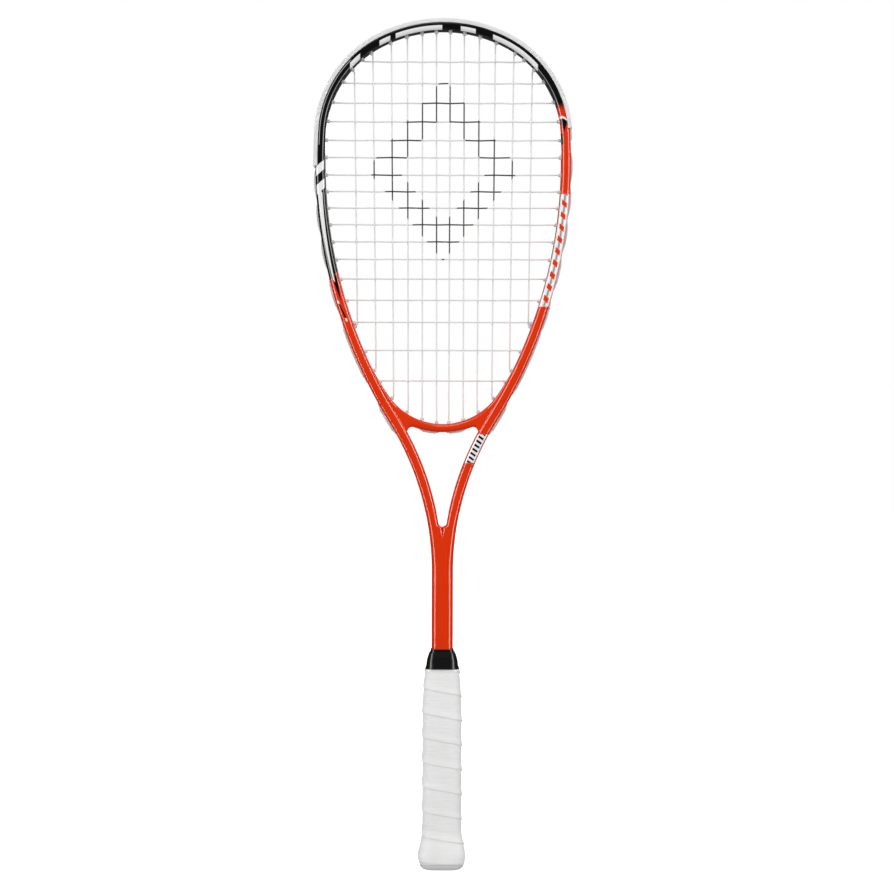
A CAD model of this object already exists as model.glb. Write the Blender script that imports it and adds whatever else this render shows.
from math import atan2, cos, degrees, pi, radians, sin, sqrt

import bmesh
import bpy
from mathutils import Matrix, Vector, noise


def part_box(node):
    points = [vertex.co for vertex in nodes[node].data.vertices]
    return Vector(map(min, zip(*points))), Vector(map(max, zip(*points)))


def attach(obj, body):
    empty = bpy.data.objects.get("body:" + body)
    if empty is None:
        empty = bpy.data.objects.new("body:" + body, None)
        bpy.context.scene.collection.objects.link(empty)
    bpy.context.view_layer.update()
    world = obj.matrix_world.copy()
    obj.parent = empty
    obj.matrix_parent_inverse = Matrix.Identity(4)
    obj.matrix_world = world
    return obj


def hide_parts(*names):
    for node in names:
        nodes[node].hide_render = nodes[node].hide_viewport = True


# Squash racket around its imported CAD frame.  Lengths below are in mm, as in the part's source, and
# MM turns them into metres.  +Z runs up the shaft, +X is to the right and the front looks along -Y.

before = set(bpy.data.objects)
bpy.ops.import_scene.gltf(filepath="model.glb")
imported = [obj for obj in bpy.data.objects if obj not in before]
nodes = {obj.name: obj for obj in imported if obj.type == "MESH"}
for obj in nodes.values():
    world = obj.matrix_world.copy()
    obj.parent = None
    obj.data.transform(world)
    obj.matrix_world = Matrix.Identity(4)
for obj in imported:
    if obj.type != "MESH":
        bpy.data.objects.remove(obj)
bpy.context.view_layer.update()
MM = 0.001

# ---------------------------------------------------------------- dimensions shared with the CAD part
CROWN_Z = 684.5
TUBE_HALF = 9.25
TUBE_EDGE = 3.2
TUBE_FACE = 7.8
SHAFT_HALF = 8.55
SHAFT_END_Z = 12.0
SHAFT_EDGE = 5.0           # the shaft's long edges are rounder than the hoop's
APEX_RADIUS = 3.3
INNER_TOP = CROWN_Z - TUBE_FACE
HOOP_ARCS = ((115.3, 28.4), (90.9, 58.1), (401.0, 35.3))
LOOP_ARCS = ((107.5, 28.4), (83.1, 58.1), (388.4, 35.5))
BED_ARCS = ((107.5, 28.4), (83.1, 58.1), (388.4, 27.6), (186.0, 11.2))
LOOP_FLARE = 239.0
UNDERSIDE_RADIUS = 72.0
UNDERSIDE_Z = 352.8
CORNER_RADIUS = 3.5
BRIDGE_HALF = TUBE_HALF - 0.4
CHANNEL_HALF = 2.55
CHANNEL_DEPTH = 0.95
STRIP_TRAVEL = (0.0, 117.4)
THROAT_TRAVEL = (117.6, 125.5)
HANDLE = ((0.0, 12.5, 10.4, 6.0), (1.3, 15.3, 13.0, 6.5), (4.0, 17.6, 15.3, 7.0),
          (7.5, 18.8, 16.4, 7.4), (11.4, 19.2, 16.7, 7.6), (17.0, 18.5, 16.0, 7.6), (24.0, 17.0, 14.8, 7.4),
          (32.0, 16.05, 14.0, 7.2), (120.0, 16.05, 14.0, 7.2), (136.5, 15.75, 13.7, 7.0),
          (152.7, 14.7, 12.8, 6.4), (162.0, 13.9, 12.0, 6.0))
COLLAR = ((162.0, 13.7, 13.2, 7.4), (164.5, 12.9, 12.6, 7.0), (168.0, 12.5, 12.0, 6.4),
          (172.0, 11.4, 11.2, 5.4), (175.0, 10.3, 10.3, 4.2), (176.2, 9.3, 10.0, 3.9),
          (178.3, 9.25, 10.0, 3.9))
GRIP_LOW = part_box("grip_wrap")[0].z / MM
GRIP_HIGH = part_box("grip_wrap")[1].z / MM
TAPE_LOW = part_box("finishing_tape")[0].z / MM
TAPE_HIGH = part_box("finishing_tape")[1].z / MM


# ---------------------------------------------------------------- outlines
def follow(arcs, top, travel, lift=0.0):
    """Point and heading after `travel` degrees on a clockwise chain of (radius, sweep) arcs.

    The point lies `lift` outside the chain.
    """
    x, z, heading, left = 0.0, top, 0.0, travel
    for radius, sweep in arcs:
        step = min(left, abs(sweep))
        turned = heading + (step if sweep > 0 else -step)
        x += radius * (sin(radians(turned)) - sin(radians(heading)))
        z -= radius * (cos(radians(heading)) - cos(radians(turned)))
        heading = turned
        left -= step
    return x + lift * sin(radians(heading)), z + lift * cos(radians(heading)), heading


hoop_turn = sum(sweep for radius, sweep in HOOP_ARCS)
side_x = follow(HOOP_ARCS, CROWN_Z, hoop_turn)[0]
outer_flare = (side_x - SHAFT_HALF) / (1 - sin(radians(hoop_turn)))
OUTER = HOOP_ARCS + ((-outer_flare, 90.0 - hoop_turn),)
OUTER_TRAVEL = 2 * hoop_turn - 90.0

loop_x, loop_z, loop_turn = follow(LOOP_ARCS, INNER_TOP, 200.0)
flare_x = loop_x + LOOP_FLARE * sin(radians(loop_turn))
flare_z = loop_z + LOOP_FLARE * cos(radians(loop_turn))
apex_z = flare_z + sqrt((LOOP_FLARE + APEX_RADIUS) ** 2 - flare_x ** 2)
apex_turn = degrees(atan2(flare_x, flare_z - apex_z))
LOOP = LOOP_ARCS + ((-LOOP_FLARE, apex_turn - loop_turn),)
LOOP_TRAVEL = 2 * loop_turn - apex_turn

bed_x, _, bed_turn = follow(BED_ARCS, INNER_TOP, 200.0)
BED = BED_ARCS + ((bed_x / sin(radians(bed_turn)), 180.0 - bed_turn),)
underside_centre = UNDERSIDE_Z + UNDERSIDE_RADIUS


def smooth(value, low, high):
    """0 below low, 1 above high and a smooth step between them."""
    share = min(max((value - low) / (high - low), 0.0), 1.0)
    return share * share * (3 - 2 * share)


def mix(a, b, share):
    return a + (b - a) * share


def curved(rows, z):
    """Values of a table at z, on a smooth curve through its rows."""
    last = len(rows) - 1
    place = 0
    while place < last - 1 and z > rows[place + 1][0]:
        place += 1
    span = rows[place + 1][0] - rows[place][0]
    share = min(max((z - rows[place][0]) / span, 0.0), 1.0)
    values = []
    for column in range(1, len(rows[0])):
        slopes = []
        for row in (place, place + 1):
            before = rows[max(row - 1, 0)]
            after = rows[min(row + 1, last)]
            low = (rows[row][column] - before[column]) / max(rows[row][0] - before[0], 1e-6)
            high = (after[column] - rows[row][column]) / max(after[0] - rows[row][0], 1e-6)
            low = high if row == 0 else low
            high = low if row == last else high
            slopes.append(0.0 if low * high <= 0 else 2 * low * high / (low + high))
        start, stop = rows[place][column], rows[place + 1][column]
        s2, s3 = share ** 2, share ** 3
        values.append(start * (2 * s3 - 3 * s2 + 1) + stop * (3 * s2 - 2 * s3)
                      + span * (slopes[0] * (s3 - 2 * s2 + share) + slopes[1] * (s3 - s2)))
    return values


# ---------------------------------------------------------------- mesh helpers
def finished_object(name, bm, sharp=35.0):
    """Object from a bmesh in mm: welded, cleaned, smooth-shaded with sharp edges kept."""
    bmesh.ops.remove_doubles(bm, verts=bm.verts, dist=0.004)
    bmesh.ops.dissolve_degenerate(bm, edges=bm.edges, dist=0.004)
    bmesh.ops.recalc_face_normals(bm, faces=bm.faces)
    for vertex in bm.verts:
        vertex.co *= MM
    mesh = bpy.data.meshes.new(name)
    bm.to_mesh(mesh)
    bm.free()
    mesh.polygons.foreach_set("use_smooth", [True] * len(mesh.polygons))
    mesh.set_sharp_from_angle(angle=radians(sharp))
    piece = bpy.data.objects.new(name, mesh)
    bpy.context.scene.collection.objects.link(piece)
    return piece


def skin(bm, rings, marks=None, layer=None, closed=True):
    """Quads between rings of points; marks holds one number for each point, stored in a float layer."""
    grid = []
    for number, ring in enumerate(rings):
        row = [bm.verts.new(point) for point in ring]
        if layer is not None:
            for vertex, mark in zip(row, marks[number]):
                vertex[layer] = mark
        grid.append(row)
    count = len(rings[0])
    for low, high in zip(grid, grid[1:]):
        for place in range(count if closed else count - 1):
            after = (place + 1) % count
            bm.faces.new((low[place], low[after], high[after], high[place]))
    return grid


def rounded_rectangle(half_width, half_depth, corner, steps=8, straights=6):
    """Points (x, y) around a rounded rectangle, from the middle of the front face towards +X."""
    points = []
    middle = (0.0, -half_depth)
    before = middle
    for sign_x, sign_y, start in ((1, -1, -90.0), (1, 1, 0.0), (-1, 1, 90.0), (-1, -1, 180.0)):
        centre = (sign_x * (half_width - corner), sign_y * (half_depth - corner))
        arc = []
        for step in range(steps + 1):
            angle = radians(start + 90.0 * step / steps)
            arc.append((centre[0] + corner * cos(angle), centre[1] + corner * sin(angle)))
        for step in range(straights):
            share = step / straights
            points.append((mix(before[0], arc[0][0], share), mix(before[1], arc[0][1], share)))
        points += arc[:-1]
        before = arc[-1]
    for step in range(straights):
        points.append((mix(before[0], middle[0], step / straights), before[1]))
    return points


def tube_profile(width, inner_edge, outer_edge, half, channel):
    """Section of the tube as (distance from the inner side, y), from the middle of the inner side."""
    arc_steps, flat_steps = 8, 6
    front = [(0.0, 0.0)]
    for step in range(arc_steps + 1):
        angle = radians(90.0 * step / arc_steps)
        front.append((inner_edge - inner_edge * cos(angle), inner_edge - half - inner_edge * sin(angle)))
    for step in range(1, flat_steps):
        front.append((mix(inner_edge, width - outer_edge, step / flat_steps), -half))
    for step in range(arc_steps + 1):
        angle = radians(90.0 * step / arc_steps)
        reach = width - outer_edge + outer_edge * sin(angle)
        front.append((reach, outer_edge - half - outer_edge * cos(angle)))
    front.append((width, -CHANNEL_HALF))
    front.append((width - channel, -CHANNEL_HALF))
    back = [(across, -y) for across, y in reversed(front[1:])]
    return front + back


# ---------------------------------------------------------------- carbon tube
HOOP_STATIONS = 340
APEX_STATIONS = 12
FORK_STATIONS = 24
SHAFT_STATIONS = 50
APEX_OUTER_TRAVEL = 1.2    # how far the outer side turns while the inner side goes round the apex
GROOVE_LENGTH = 11.0       # the groove between the arms fades out this far below the apex
EDGE_BLEND_Z = (245.0, 330.0)   # the shaft's rounder edges turn into the hoop's between these heights


def tube_stations():
    """(outer point, inner point, travel) down the right half of the hairpin."""
    found = []
    for step in range(HOOP_STATIONS + 1):
        travel = LOOP_TRAVEL * step / HOOP_STATIONS
        found.append((follow(OUTER, CROWN_Z, travel)[:2], follow(LOOP, INNER_TOP, travel)[:2], travel))
    for step in range(1, APEX_STATIONS + 1):
        share = step / APEX_STATIONS
        turn = radians(mix(apex_turn, 180.0, share))
        travel = LOOP_TRAVEL + APEX_OUTER_TRAVEL * share
        inner = (APEX_RADIUS * sin(turn), apex_z + APEX_RADIUS * cos(turn))
        found.append((follow(OUTER, CROWN_Z, travel)[:2], inner, travel))
    start_travel = LOOP_TRAVEL + APEX_OUTER_TRAVEL
    drop = apex_z - APEX_RADIUS - follow(OUTER, CROWN_Z, start_travel)[1]
    for step in range(1, FORK_STATIONS + 1):
        share = step / FORK_STATIONS
        travel = mix(start_travel, OUTER_TRAVEL, share)
        outer = follow(OUTER, CROWN_Z, travel)[:2]
        found.append((outer, (0.0, outer[1] + drop * (1 - share)), travel))
    foot = follow(OUTER, CROWN_Z, OUTER_TRAVEL)[1]
    for step in range(1, SHAFT_STATIONS + 1):
        z = mix(foot, SHAFT_END_Z, step / SHAFT_STATIONS)
        found.append(((SHAFT_HALF, z), (0.0, z), OUTER_TRAVEL))
    return found


def channel_at(travel):
    for first, last in (STRIP_TRAVEL, THROAT_TRAVEL):
        if first <= travel <= last:
            return CHANNEL_DEPTH
    return 0.0


def carbon_tube():
    bm = bmesh.new()
    layer = bm.verts.layers.float.new("across")
    stations = tube_stations()
    groove_top = apex_z - APEX_RADIUS
    for side in (1, -1):
        rings, marks = [], []
        for outer, inner, travel in stations:
            width = sqrt((outer[0] - inner[0]) ** 2 + (outer[1] - inner[1]) ** 2)
            direction = ((outer[0] - inner[0]) / width, (outer[1] - inner[1]) / width)
            inner_edge = TUBE_EDGE * smooth(inner[1], groove_top - GROOVE_LENGTH, groove_top)
            if inner[0] > 0.5:
                inner_edge = TUBE_EDGE
            outer_edge = mix(SHAFT_EDGE, TUBE_EDGE, smooth(outer[1], *EDGE_BLEND_Z))
            profile = tube_profile(width, inner_edge, outer_edge, TUBE_HALF, channel_at(travel))
            rings.append([(side * (inner[0] + direction[0] * across), y, inner[1] + direction[1] * across)
                          for across, y in profile])
            marks.append([across / width for across, y in profile])
        skin(bm, rings, marks, layer)
    inside = [face for face in bm.faces if all(abs(vertex.co.x) < 1e-4 for vertex in face.verts)]
    bmesh.ops.delete(bm, geom=inside, context="FACES")
    bmesh.ops.remove_doubles(bm, verts=bm.verts, dist=0.004)
    ends = [edge for edge in bm.edges if edge.is_boundary and edge.verts[0].co.z < SHAFT_END_Z + 0.1]
    bmesh.ops.holes_fill(bm, edges=ends)
    return finished_object("carbon_tube", bm)


# ---------------------------------------------------------------- throat bridge
WING_START = 113.0         # travel along the string bed's outline where the bridge leaves the arm
BRIDGE_STATIONS = 130
BURIED = 2.2               # the bridge's lower side lies this deep inside the arm above the throat
BURIED_START = 105.0       # travel along the throat's outline where that side begins
SUNK = 0.25                # the bridge's wings start this far below the arm's surface ...
SUNK_TRAVEL = (114.0, 118.0)    # ... and come level with it between these travels
WING_DEEP = 121.0          # travel where the bridge has its full depth
LONG_STEPS = 60            # points along each long stretch of the bridge's lower side
CORNER_STEPS = 16


def bridge_underside():
    """Points of the bridge's lower side from inside the arm to the middle."""
    corner_reach = UNDERSIDE_RADIUS + CORNER_RADIUS
    low, high = 10.0, 40.0
    for _ in range(60):    # halving: where the corner's arc touches both the bridge and the arm
        x = (low + high) / 2
        z = underside_centre - sqrt(corner_reach ** 2 - x ** 2)
        if sqrt((x - flare_x) ** 2 + (z - flare_z) ** 2) > LOOP_FLARE + CORNER_RADIUS:
            low = x
        else:
            high = x
    centre = Vector((x, z))
    on_arm = (Vector((flare_x, flare_z)) - centre).normalized()
    on_bridge = (Vector((0.0, underside_centre)) - centre).normalized()
    arm_travel = LOOP_TRAVEL
    while follow(LOOP, INNER_TOP, arm_travel)[1] < (centre + on_arm * CORNER_RADIUS).y:
        arm_travel -= 0.05
    points = []
    for step in range(LONG_STEPS + 1):
        travel = mix(BURIED_START, arm_travel, step / LONG_STEPS)
        points.append(Vector(follow(LOOP, INNER_TOP, travel, BURIED)[:2]))
    first = atan2(on_arm.y, on_arm.x)
    turn = (atan2(on_bridge.y, on_bridge.x) - first) % (2 * pi)
    for step in range(CORNER_STEPS + 1):
        angle = first + turn * step / CORNER_STEPS
        points.append(centre + Vector((cos(angle), sin(angle))) * CORNER_RADIUS)
    start = atan2(points[-1].y - underside_centre, points[-1].x)
    for step in range(1, LONG_STEPS + 1):
        angle = mix(start, -pi / 2, step / LONG_STEPS)
        points.append(Vector((0.0, underside_centre)) + UNDERSIDE_RADIUS * Vector((cos(angle), sin(angle))))
    return points


def reach_to(origin, direction, points):
    """Distance along a ray to the nearest crossing of a chain of points."""
    best = None
    for a, b in zip(points, points[1:]):
        along = b - a
        across = direction.x * along.y - direction.y * along.x
        if abs(across) < 1e-9:
            continue
        gap = a - origin
        distance = (gap.x * along.y - gap.y * along.x) / across
        share = (gap.x * direction.y - gap.y * direction.x) / across
        if -1e-6 <= share <= 1 + 1e-6 and distance > 0.05 and (best is None or distance < best):
            best = distance
    return best


def throat_bridge():
    bm = bmesh.new()
    layer = bm.verts.layers.float.new("across")
    lower = bridge_underside()
    half_rings = []
    for step in range(BRIDGE_STATIONS + 1):
        travel = mix(WING_START, 180.0, step / BRIDGE_STATIONS)
        sunk = SUNK * (1 - smooth(travel, *SUNK_TRAVEL))
        x, z, heading = follow(BED, INNER_TOP, travel, sunk)
        outward = Vector((sin(radians(heading)), cos(radians(heading))))
        if step == BRIDGE_STATIONS:
            x, outward = 0.0, Vector((0.0, -1.0))
        thickness = reach_to(Vector((x, z)), outward, lower)
        half = mix(TUBE_HALF - TUBE_EDGE + 0.4, BRIDGE_HALF, smooth(travel, WING_START, WING_DEEP))
        edge = min(TUBE_EDGE, thickness / 2 - 0.1)
        half_rings.append([(x + outward.x * across, y, z + outward.y * across, across / thickness)
                           for across, y in tube_profile(thickness, edge, edge, half, 0.0)])
    rings = half_rings + [[(-x, y, z, mark) for x, y, z, mark in ring] for ring in reversed(half_rings[:-1])]
    grid = skin(bm, [[point[:3] for point in ring] for ring in rings],
                [[point[3] for point in ring] for ring in rings], layer)
    for row in (grid[0], grid[-1]):
        bm.faces.new(row)
    return finished_object("bridge_shell", bm)


# ---------------------------------------------------------------- handle
GRIP_PITCH = 19.8
GRIP_SEAM_Z = 5.3          # height of one seam at the middle of the front
LIP_HEIGHT = 0.62
SEAM_WOBBLE = 0.35         # a seam strays this far from an even helix
# rows of the mesh across one turn of the strip, as shares of the pitch: close together at the seam
SEAM_ROWS = (0.0, 0.003, 0.012, 0.03, 0.055, 0.085, 0.12, 0.16, 0.21, 0.27, 0.33, 0.39, 0.45,
             0.51, 0.57, 0.63, 0.69, 0.75, 0.81, 0.86, 0.905, 0.94, 0.965, 0.985, 0.997)
GRIP_COLUMNS = 168


def outline_point(half_width, half_depth, corner, share):
    """Point and outward direction on a rounded rectangle, at a share of its length from the front middle."""
    flat_x = half_width - corner
    flat_y = half_depth - corner
    bend = corner * pi / 2
    distance = (share % 1.0) * (4 * flat_x + 4 * flat_y + 4 * bend)
    runs = (("line", flat_x, 0), ("arc", bend, 0), ("line", 2 * flat_y, 1), ("arc", bend, 1),
            ("line", 2 * flat_x, 2), ("arc", bend, 2), ("line", 2 * flat_y, 3), ("arc", bend, 3),
            ("line", flat_x, 4))
    signs = ((1, -1), (1, 1), (-1, 1), (-1, -1))
    starts = ((0.0, -half_depth), (half_width, -flat_y), (flat_x, half_depth), (-half_width, flat_y),
              (-flat_x, -half_depth))
    ways = ((1, 0), (0, 1), (-1, 0), (0, -1), (1, 0))
    for kind, length, number in runs:
        if distance > length and (kind, number) != ("line", 4):
            distance -= length
            continue
        if kind == "line":
            start, way = starts[number], ways[number]
            return (Vector((start[0] + way[0] * distance, start[1] + way[1] * distance)),
                    Vector((way[1], -way[0])))
        angle = radians(90.0 * number - 90.0) + distance / corner
        sign = signs[number]
        outward = Vector((cos(angle), sin(angle)))
        return Vector((sign[0] * flat_x, sign[1] * flat_y)) + outward * corner, outward
    return None


def grip_relief(z, share, turn_share):
    """How far the wound strip stands out of the handle's surface."""
    lip = LIP_HEIGHT * (1 - smooth(turn_share, 0.0, 0.30))
    tuck = -0.16 * smooth(turn_share, 0.90, 1.0)
    angle = 2 * pi * share
    swell = 0.10 * sin(pi * turn_share)
    fold = noise.noise(Vector((2.2 * cos(angle), 2.2 * sin(angle), 0.34 * z)))
    crease = noise.noise(Vector((3.1 * cos(angle) + 7.0, 3.1 * sin(angle), 0.9 * (z + 3.8 * share))))
    return lip + tuck + swell + 0.10 * fold - 0.16 * max(0.0, abs(crease) - 0.22) - 0.35


def grip_wrap():
    bm = bmesh.new()
    first_turn = int((GRIP_LOW - GRIP_SEAM_Z) / GRIP_PITCH) - 1
    last_turn = int((GRIP_HIGH - GRIP_SEAM_Z) / GRIP_PITCH) + 2
    rows = []
    for turn in range(first_turn, last_turn + 1):
        for offset in SEAM_ROWS:
            ring = []
            for column in range(GRIP_COLUMNS + 1):
                share = column / GRIP_COLUMNS
                angle = 2 * pi * share
                uneven = noise.noise(Vector((2 * cos(angle), 2 * sin(angle), turn + offset)))
                z = GRIP_SEAM_Z + (turn + offset - share) * GRIP_PITCH + SEAM_WOBBLE * uneven
                z = min(max(z, GRIP_LOW), GRIP_HIGH)
                place, outward = outline_point(*curved(HANDLE, z), share)
                fade = smooth(z, GRIP_LOW, GRIP_LOW + 1.0) * (1 - smooth(z, GRIP_HIGH - 0.8, GRIP_HIGH))
                place = place + outward * (grip_relief(z, share, offset) * fade - 0.3 * (1 - fade))
                ring.append((place.x, place.y, z))
            rows.append(ring)
    grid = skin(bm, rows, closed=False)
    bmesh.ops.remove_doubles(bm, verts=[v for row in grid for v in row], dist=0.01)
    return finished_object("grip_winding", bm, 60.0)


def lofted(table, heights):
    """Skin through smooth sections of a table; each height is (z, how much the section shrinks)."""
    bm = bmesh.new()
    rings = []
    for z, less in heights:
        half_width, half_depth, corner = curved(table, z)
        outline = rounded_rectangle(half_width - less, half_depth - less, max(corner - less, 0.6))
        rings.append([(x, y, z) for x, y in outline])
    grid = skin(bm, rings)
    return bm, grid


def butt_cap():
    heights = [(8.0, 2.3), (GRIP_LOW, 2.0), (GRIP_LOW - 0.15, 1.0), (GRIP_LOW - 0.2, 0.35)]
    heights += [(4.5 - 0.3 * step, 0.0) for step in range(11)]
    heights += [(1.2, 0.0), (0.9, 0.0), (0.6, 0.05), (0.35, 0.1), (0.15, 0.4), (0.0, 1.2), (0.0, 1.6)]
    bm, grid = lofted(HANDLE, heights)
    base_sections = [(11.0, 8.9, 4.6), (8.0, 6.4, 3.0), (6.75, 4.75, 2.1), (6.5, 4.5, 2.0)]
    rings = [[tuple(vertex.co) for vertex in grid[-1]]]
    for half_width, half_depth, corner in base_sections:
        rings.append([(x, y, 0.0) for x, y in rounded_rectangle(half_width, half_depth, corner)])
    rings.append([(x, y, 0.15) for x, y in rounded_rectangle(6.4, 4.4, 2.0)])
    rings.append([(x, y, 1.6) for x, y in rounded_rectangle(6.4, 4.4, 2.0)])
    base = skin(bm, rings)
    bm.faces.new(base[-1])
    bm.faces.new(grid[0])
    return finished_object("butt_cap_shell", bm, 50.0)


def finishing_tape():
    bm = bmesh.new()
    rings = []
    middle = mix(TAPE_LOW, TAPE_HIGH, 0.5)
    band = ((TAPE_LOW, -0.6), (TAPE_LOW + 0.02, 0.04), (TAPE_LOW + 0.15, 0.1), (middle, 0.12),
            (TAPE_HIGH - 0.15, 0.1), (TAPE_HIGH - 0.02, 0.04), (TAPE_HIGH, -1.4))
    for z, grow in band:
        half_width, half_depth, corner = curved(HANDLE, z)
        outline = rounded_rectangle(half_width + grow, half_depth + grow, corner + grow)
        rings.append([(x, y, z) for x, y in outline])
    skin(bm, rings)
    return finished_object("tape_band", bm, 50.0)


def collar():
    heights = [(162.0, 2.6), (162.0, 1.0), (162.0, 0.35), (162.12, 0.1), (162.4, 0.0)]
    heights += [(162.8 + 0.4 * step, 0.0) for step in range(36)]
    heights += [(177.3, 0.0), (177.7, 0.05), (177.9, 0.18), (178.0, 0.4), (178.0, 0.66)]
    bm, _ = lofted(COLLAR, heights)
    return finished_object("collar_sleeve", bm, 50.0)


# ---------------------------------------------------------------- node helpers
class Value:
    """A number in a material; arithmetic on it adds Math nodes."""

    def __init__(self, tree, socket):
        self.tree = tree
        self.socket = socket

    def math(self, operation, *others):
        node = self.tree.nodes.new("ShaderNodeMath")
        node.operation = operation
        for target, value in zip(node.inputs, (self,) + others):
            if isinstance(value, Value):
                self.tree.links.new(value.socket, target)
            else:
                target.default_value = value
        return Value(self.tree, node.outputs[0])

    def __add__(self, other):
        return self.math("ADD", other)

    def __sub__(self, other):
        return self.math("SUBTRACT", other)

    def __mul__(self, other):
        return self.math("MULTIPLY", other)

    def __truediv__(self, other):
        return self.math("DIVIDE", other)

    def __abs__(self):
        return self.math("ABSOLUTE")

    def either(self, other):
        return self.math("MAXIMUM", other)

    def inverse(self):
        node = self.tree.nodes.new("ShaderNodeMath")
        node.operation = "SUBTRACT"
        node.inputs[0].default_value = 1.0
        self.tree.links.new(self.socket, node.inputs[1])
        return Value(self.tree, node.outputs[0])

    def above(self, limit, soft):
        """0 below the limit, 1 above it, with a ramp `soft` wide around it."""
        node = self.tree.nodes.new("ShaderNodeMapRange")
        node.interpolation_type = "SMOOTHSTEP"
        source = self
        if isinstance(limit, Value):
            source = self - limit
            limit = 0.0
        self.tree.links.new(source.socket, node.inputs["Value"])
        node.inputs["From Min"].default_value = limit - soft / 2
        node.inputs["From Max"].default_value = limit + soft / 2
        return Value(self.tree, node.outputs["Result"])

    def between(self, low, high, soft):
        return self.above(low, soft) * self.above(high, soft).inverse()


class Material:
    """A principled material being built."""

    def __init__(self, name, **settings):
        self.material = bpy.data.materials.new(name)
        self.material.use_nodes = True
        self.tree = self.material.node_tree
        self.shader = self.tree.nodes["Principled BSDF"]
        for label, value in settings.items():
            self.shader.inputs[label.replace("_", " ")].default_value = value
        self.bump_before = None

    def link(self, source, target):
        self.tree.links.new(source, target)

    def coordinates(self):
        """x, y and z on the object, in mm."""
        place = self.tree.nodes.new("ShaderNodeTexCoord")
        split = self.tree.nodes.new("ShaderNodeSeparateXYZ")
        self.link(place.outputs["Object"], split.inputs[0])
        return [Value(self.tree, split.outputs[axis]) * 1000.0 for axis in "XYZ"]

    def attribute(self, name):
        node = self.tree.nodes.new("ShaderNodeAttribute")
        node.attribute_name = name
        return Value(self.tree, node.outputs["Fac"])

    def noise(self, scale, detail=3.0, stretch=(1.0, 1.0, 1.0)):
        """Noise on the object; scale is in features per metre."""
        place = self.tree.nodes.new("ShaderNodeTexCoord")
        mapping = self.tree.nodes.new("ShaderNodeMapping")
        mapping.inputs["Scale"].default_value = stretch
        node = self.tree.nodes.new("ShaderNodeTexNoise")
        node.inputs["Scale"].default_value = scale
        node.inputs["Detail"].default_value = detail
        self.link(place.outputs["Object"], mapping.inputs["Vector"])
        self.link(mapping.outputs["Vector"], node.inputs["Vector"])
        return Value(self.tree, node.outputs["Fac"])

    def blend(self, share, base, over):
        """Colour mixed from base to over by a Value; both are colours or sockets."""
        node = self.tree.nodes.new("ShaderNodeMix")
        node.data_type = "RGBA"
        self.link(share.socket, node.inputs["Factor"])
        for target, colour in ((node.inputs[6], base), (node.inputs[7], over)):
            if isinstance(colour, tuple):
                target.default_value = colour + (1.0,)
            else:
                self.link(colour, target)
        return node.outputs[2]

    def colour(self, source):
        self.link(source, self.shader.inputs["Base Color"])

    def roughness(self, value):
        self.link(value.socket, self.shader.inputs["Roughness"])

    def bump(self, height, strength, distance):
        """Adds a bump of a height field; distance is in mm."""
        node = self.tree.nodes.new("ShaderNodeBump")
        node.inputs["Strength"].default_value = strength
        node.inputs["Distance"].default_value = distance * MM
        self.link(height.socket, node.inputs["Height"])
        if self.bump_before is not None:
            self.link(self.bump_before, node.inputs["Normal"])
        self.bump_before = node.outputs["Normal"]
        self.link(self.bump_before, self.shader.inputs["Normal"])


def dress(piece, material):
    """Gives a piece, or a CAD node, one material."""
    if not piece.material_slots:
        piece.data.materials.append(material.material)
    for place in piece.material_slots:
        place.material = material.material


# ---------------------------------------------------------------- materials
ORANGE = (0.84, 0.040, 0.0)
ORANGE_DEEP = (0.76, 0.028, 0.0)
BLACK = (0.0035, 0.0035, 0.0042)
WHITE = (0.90, 0.90, 0.90)
SILVER = (0.36, 0.37, 0.39)


# Painted marks are placed by height, in mm, and by their share across the tube, 0 at its inner
# side and 1 at its outer side.
SOFT = 0.7                 # the ends of a mark fade over this many mm
SOFT_SIDE = 0.04           # and its sides over this share of the tube's width
SLANT = 7.0                # slanted ends lie this much lower at the tube's outer side
LEFT_BLACK_Z = 482.0       # the black ends here on the left side ...
RIGHT_BLACK_Z = 614.5      # ... here on the right ...
CROWN_BLACK_Z = 640.0      # ... and reaches right across above this
CROWN_SEGMENTS = ((-75.0, -67.0), (-51.4, -42.8), (-38.4, -1.0), (14.0, 26.0), (40.0, 76.0))
SLASHES = ((565.0, 572.5), (550.0, 557.5))
PANEL_Z = (454.0, 544.5)
LABEL_Z = (328.0, 351.0)
GREY_LINE = (0.42, 0.42, 0.43)


def near(value, middle, half, soft):
    """1 where a value is within `half` of the middle."""
    return (abs(value - middle) - half).above(0.0, soft).inverse()


def any_of(first, *others):
    for other in others:
        first = first.either(other)
    return first


def slanted_bars(along, across, pitch, share, slant):
    """Repeating bars along a coordinate, slanted by the other one; 1 on a bar."""
    phase = (along + across * slant).math("MODULO", pitch).math("ABSOLUTE")
    return phase.between(0.0, pitch * share, 0.4)


def black_marks(left, right, z, across):
    """Black crown, left side down to a wedge along the tube, and a comma and a stripe on the right."""
    left_side = left * (z + across * SLANT).above(LEFT_BLACK_Z, SOFT)
    crown = z.above(CROWN_BLACK_Z, SOFT)
    right_side = right * z.above(RIGHT_BLACK_Z, 10 * SOFT)
    wedge = near(across, 0.44, (z - 457.0) * 0.0125, SOFT_SIDE) * z.between(459.0, 479.0, SOFT)
    stroke_middle = (z - 445.0) * 0.022 + 0.50
    stroke = near(across, stroke_middle, 0.08, SOFT_SIDE) * z.between(444.5, 455.5, SOFT)
    comma_outer = (z - 596.0) * 0.048 + 0.42
    comma_inner = (z - 606.0) * -0.03
    comma = (across - comma_outer).above(0.0, SOFT_SIDE).inverse() * z.between(594.0, 605.5, SOFT)
    comma = comma * (across - comma_inner).above(0.0, SOFT_SIDE)
    stripe = across.above(0.20, SOFT_SIDE).inverse() * z.between(584.5, 593.0, SOFT)
    return any_of(left_side, crown, right_side, left * wedge.either(stroke), right * comma.either(stripe))


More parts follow.
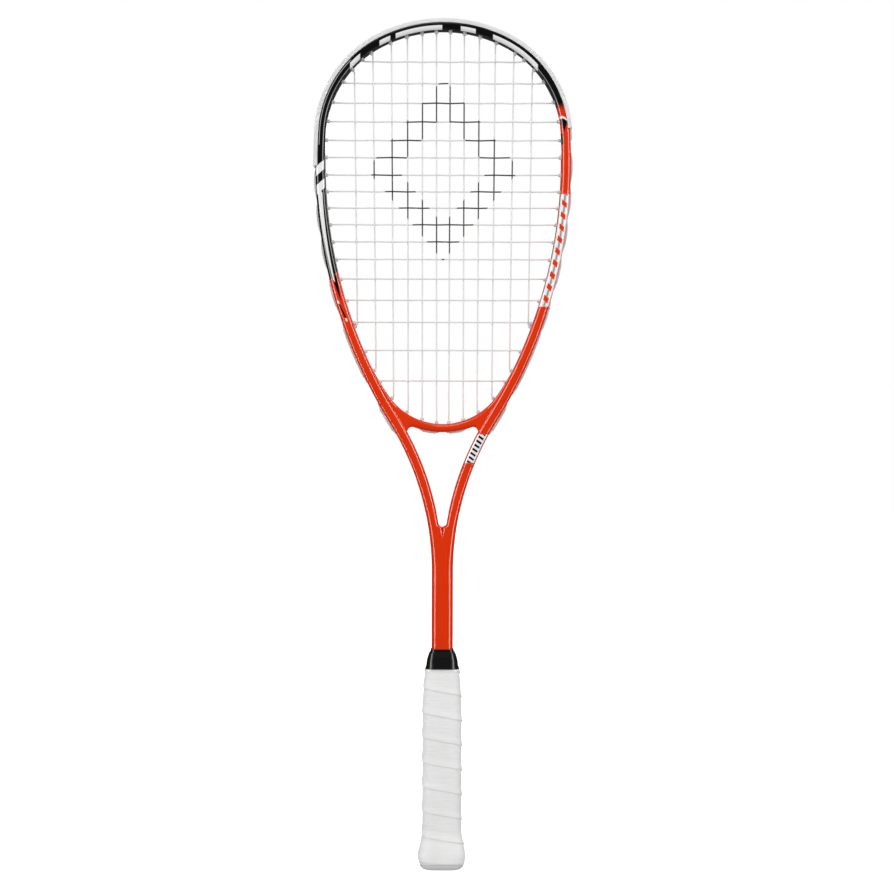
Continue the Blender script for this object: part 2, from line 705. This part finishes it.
def white_marks(x, left, right, z, across):
    """White segments of the crown, slashes, sweep and dots on the left and an arc on the right."""
    segments = [x.between(low, high, SOFT) for low, high in CROWN_SEGMENTS]
    crown = any_of(*segments) * across.above(0.46, SOFT_SIDE).inverse() * z.above(CROWN_BLACK_Z + 1.0, SOFT)
    slashes = [(z + across * SLANT).between(low, high, SOFT) for low, high in SLASHES]
    slashes = any_of(*slashes) * across.between(0.08, 0.92, SOFT_SIDE)
    sweep = near(across, 0.58, (z - 440.0) * 0.0021, SOFT_SIDE)
    sweep = sweep * (z - across * 2 * SLANT).between(466.0, 540.0, SOFT)
    low_dot = across.between(0.42, 0.60, SOFT_SIDE) * z.between(441.8, 444.2, SOFT)
    high_dot = across.between(0.66, 0.84, SOFT_SIDE) * z.between(456.0, 458.2, SOFT)
    arc = right * (z + (across - 0.3) * (across - 0.3) * 11.0).between(605.4, 607.3, SOFT)
    return any_of(crown, left * any_of(slashes, sweep, low_dot, high_dot), arc)


def paint_material():
    """Glossy lacquer: orange, black over the crown and left side, with white and silver trim."""
    paint = Material("racket_lacquer", Coat_Weight=1.0, Coat_Roughness=0.06, Specular_IOR_Level=0.15)
    x, y, z = paint.coordinates()
    across = paint.attribute("across")
    right = x.above(0.0, 0.2)
    left = right.inverse()
    faces = across.between(0.02, 0.98, 0.02) * abs(y).above(3.0, 0.5)
    core = across.between(0.22, 0.78, SOFT_SIDE)
    black = black_marks(left, right, z, across)
    white = white_marks(x, left, right, z, across)
    thin_line = left * near(across, 0.62, 0.035, 0.03) * z.between(584.0, 652.0, SOFT)
    # silver panel with a row of plain slanted bars on the right side
    panel = right * z.between(*PANEL_Z, SOFT) * across.between(0.06, 0.94, SOFT_SIDE)
    panel_bars = slanted_bars(z, across, 9.6, 0.44, 6.0) * panel * core
    spine = near(across, 0.5, 0.10, 0.06) * panel * panel_bars.inverse()
    # white label with dark bars on the right arm of the throat
    label = right * z.between(*LABEL_Z, SOFT) * across.between(0.10, 0.90, SOFT_SIDE)
    label_bars = slanted_bars(z, across, 3.3, 0.50, 5.0) * label * core

    colour = paint.blend(paint.noise(38.0, 2.0), ORANGE, ORANGE_DEEP)
    colour = paint.blend(black, colour, BLACK)
    layers = ((panel, WHITE), (panel_bars, ORANGE), (spine, SILVER), (white, WHITE),
              (thin_line, GREY_LINE), (label, WHITE), (label_bars, BLACK))
    for mark, ink in layers:
        colour = paint.blend(mark * faces, colour, ink)
    paint.colour(colour)
    paint.roughness(paint.noise(900.0, 3.0) * 0.06 + 0.17)
    paint.bump(paint.noise(420.0, 2.0), 0.12, 0.08)
    return paint


def clear_guard_material():
    """Milky clear nylon of the bumper and the grommets."""
    guard = Material("clear_nylon", Transmission_Weight=0.30, IOR=1.46)
    cloud = guard.noise(160.0, 3.0)
    guard.colour(guard.blend(cloud, (0.90, 0.91, 0.92), (0.97, 0.97, 0.98)))
    guard.roughness(guard.noise(1400.0, 3.0) * 0.14 + 0.26)
    guard.bump(guard.noise(2600.0, 2.0), 0.15, 0.03)
    return guard


def string_material():
    """Pale multifilament string with a plain diamond inked on the bed."""
    string = Material("racket_string", Coat_Weight=0.25, Coat_Roughness=0.2, IOR=1.52)
    x, y, z = string.coordinates()
    diamond = abs(x) / 62.0 + abs(z - 565.0) / 74.0
    ink = diamond.between(0.60, 1.0, 0.01)
    fleck = string.noise(2400.0, 2.0)
    pale = string.blend(fleck, (0.74, 0.74, 0.73), (0.84, 0.84, 0.83))
    worn = string.noise(700.0, 3.0).above(0.30, 0.1)
    string.colour(string.blend(ink * worn, pale, (0.018, 0.018, 0.02)))
    string.roughness(fleck * 0.15 + 0.30)
    filaments = ((x + z) * 7.0).math("SINE")
    string.bump(filaments, 0.25, 0.03)
    return string


def grip_material():
    """White synthetic grip tape with a fine grain."""
    grip = Material("white_grip_tape", Sheen_Weight=0.25, Sheen_Roughness=0.5, Specular_IOR_Level=0.3)
    soil = grip.noise(55.0, 4.0, (1.0, 1.0, 0.5))
    grip.colour(grip.blend(soil, (0.80, 0.80, 0.795), (0.95, 0.95, 0.95)))
    grain = grip.noise(3200.0, 3.0)
    grip.roughness(grain * 0.2 + 0.52)
    grip.bump(grip.noise(200.0, 4.0, (0.4, 0.4, 2.6)), 0.80, 0.55)
    grip.bump(grain, 0.30, 0.05)
    return grip


def tape_material():
    tape = Material("white_finishing_tape", Coat_Weight=0.3, Coat_Roughness=0.2)
    fleck = tape.noise(260.0, 3.0)
    tape.colour(tape.blend(fleck, (0.86, 0.86, 0.86), (0.93, 0.93, 0.93)))
    tape.roughness(fleck * 0.1 + 0.3)
    tape.bump(tape.noise(1800.0, 2.0, (1.0, 1.0, 0.3)), 0.2, 0.03)
    return tape


def rubber_material():
    rubber = Material("collar_rubber", Coat_Weight=0.5, Coat_Roughness=0.10, Specular_IOR_Level=0.15)
    grain = rubber.noise(2600.0, 3.0)
    rubber.colour(rubber.blend(grain, (0.003, 0.003, 0.0035), (0.007, 0.007, 0.0075)))
    rubber.roughness(grain * 0.12 + 0.30)
    rubber.bump(grain, 0.25, 0.04)
    return rubber


def plastic_material():
    plastic = Material("cap_plastic", IOR=1.48)
    cloud = plastic.noise(220.0, 3.0)
    plastic.colour(plastic.blend(cloud, (0.72, 0.72, 0.71), (0.80, 0.80, 0.79)))
    plastic.roughness(plastic.noise(1500.0, 2.0) * 0.15 + 0.38)
    plastic.bump(plastic.noise(3000.0, 2.0), 0.2, 0.03)
    return plastic


def foam_material():
    foam = Material("handle_foam")
    cells = foam.noise(1500.0, 4.0)
    foam.colour(foam.blend(cells, (0.50, 0.40, 0.22), (0.68, 0.57, 0.36)))
    foam.roughness(cells * 0.2 + 0.7)
    foam.bump(cells, 0.6, 0.2)
    return foam


def steel_material():
    steel = Material("staple_steel", Metallic=1.0)
    brushed = steel.noise(900.0, 3.0, (6.0, 1.0, 1.0))
    steel.colour(steel.blend(brushed, (0.50, 0.51, 0.53), (0.64, 0.65, 0.67)))
    steel.roughness(brushed * 0.2 + 0.25)
    steel.bump(brushed, 0.2, 0.02)
    return steel


# ---------------------------------------------------------------- pieces and finishes
lacquer = paint_material()
guard_look = clear_guard_material()
string_look = string_material()
plastic_look = plastic_material()
foam_look = foam_material()
steel_look = steel_material()

new_pieces = (
    (carbon_tube(), "frame_hairpin", "frame_paint", lacquer),
    (throat_bridge(), "throat_bridge", "frame_paint", lacquer),
    (grip_wrap(), "grip_wrap", "grip", grip_material()),
    (butt_cap(), "butt_cap", "cap_plastic", plastic_look),
    (finishing_tape(), "finishing_tape", "tape", tape_material()),
    (collar(), "collar", "collar_rubber", rubber_material()),
)
for piece, node, slot_name, look in new_pieces:
    dress(piece, look)
    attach(piece, "root")
    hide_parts(node)

kept_looks = {
    "bumper_guard": guard_look, "grommet_strip_left": guard_look, "grommet_strip_right": guard_look,
    "throat_grommet_left": guard_look, "throat_grommet_right": guard_look,
    "bridge_grommet_left": guard_look, "bridge_grommet_right": guard_look,
    "main_string": string_look, "cross_string": string_look,
    "bridge_core": foam_look, "pallet_front": foam_look, "pallet_back": foam_look,
    "shaft_plug_left": foam_look, "shaft_plug_right": foam_look,
    "butt_door": plastic_look, "handle_staples": steel_look,
}
for name, look in kept_looks.items():
    dress(nodes[name], look)


# ---------------------------------------------------------------- studio
def area_light(name, place, aim, width, height, power):
    data = bpy.data.lights.new(name, "AREA")
    data.shape = "RECTANGLE"
    data.size = width
    data.size_y = height
    data.energy = power
    lamp = bpy.data.objects.new(name, data)
    lamp.location = place
    lamp.rotation_euler = (Vector(aim) - Vector(place)).to_track_quat("-Z", "Y").to_euler()
    bpy.context.scene.collection.objects.link(lamp)
    return lamp


def studio():
    middle = (0.0, 0.0, 0.35)
    for name, x in (("left_strip", -1.2), ("right_strip", 1.2)):
        strip = area_light(name, (x, -0.75, 0.55), middle, 0.42, 2.2, 22.0)
        strip.visible_diffuse = False
        strip.data.color = (1.0, 0.95, 0.86)
    area_light("left_fill", (-1.6, -1.5, 0.8), middle, 0.8, 1.4, 9.0)
    area_light("right_fill", (1.6, -1.5, 0.8), middle, 0.8, 1.4, 9.0)
    area_light("front_box", (-0.5, -1.9, 2.6), middle, 1.6, 1.2, 16.0)
    area_light("back_box", (0.6, 2.2, 1.4), middle, 1.6, 1.2, 10.0)
    area_light("top_box", (0.0, -0.3, 2.2), middle, 1.2, 1.2, 6.0)

    # white backdrop; softer as a light, and dim in reflections so that lacquer keeps its colour
    world = bpy.data.worlds.new("studio")
    world.use_nodes = True
    bpy.context.scene.world = world
    tree = world.node_tree
    sky = tree.nodes["Background"]
    sky.inputs["Color"].default_value = (1.0, 1.0, 1.0, 1.0)
    path = tree.nodes.new("ShaderNodeLightPath")
    strength = Value(tree, path.outputs["Is Camera Ray"])
    for ray, amount in (("Is Diffuse Ray", 0.55), ("Is Glossy Ray", 0.04), ("Is Transmission Ray", 0.85)):
        strength = strength + Value(tree, path.outputs[ray]) * amount
    tree.links.new(strength.socket, sky.inputs["Strength"])
    bpy.context.scene.view_settings.view_transform = "Standard"

    bm = bmesh.new()
    bmesh.ops.create_grid(bm, x_segments=2, y_segments=2, size=12000.0)
    floor = finished_object("studio_floor", bm)
    floor.location.z = -0.0005
    pale = Material("pale_floor", Emission_Color=(1.0, 1.0, 1.0, 1.0), Emission_Strength=1.0)
    pale.colour(pale.blend(pale.noise(2.0), (0.86, 0.86, 0.86), (0.9, 0.9, 0.9)))
    dress(floor, pale)
    floor.visible_diffuse = False
    floor.visible_glossy = False
    floor.visible_transmission = False


def camera():
    data = bpy.data.cameras.new("camera")
    data.lens = 110.0
    data.sensor_width = 36.0
    data.clip_end = 60.0
    seer = bpy.data.objects.new("camera", data)
    seer.location = (0.00355, -2.207, 0.3408)
    seer.rotation_euler = (pi / 2, radians(-0.12), 0.0)
    bpy.context.scene.collection.objects.link(seer)
    bpy.context.scene.camera = seer


studio()
camera()
